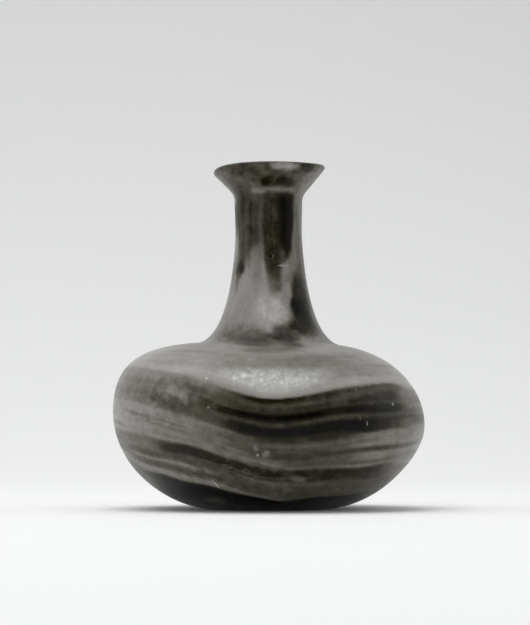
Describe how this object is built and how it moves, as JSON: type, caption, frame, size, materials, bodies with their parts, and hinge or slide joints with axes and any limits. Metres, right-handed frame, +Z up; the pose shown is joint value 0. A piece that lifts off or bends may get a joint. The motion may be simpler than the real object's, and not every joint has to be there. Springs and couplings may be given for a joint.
{
  "type": "glass perfume flask",
  "caption": "Small free-blown flask of marbled glass with a squat bulb, a tall narrow neck and a flaring rim, hollow and open at the mouth.",
  "frame": {"origin": "centre of the underside, on the surface that the flask stands on", "axes": "+Z up along the neck, +X to the right as the picture shows it, +Y to the back"},
  "size_m": [0.0642, 0.0642, 0.071],
  "materials": {
    "marbled_glass": "satin"
  },
  "bodies": {
    "root": {"flask": "marbled_glass"}
  },
  "joints": []
}
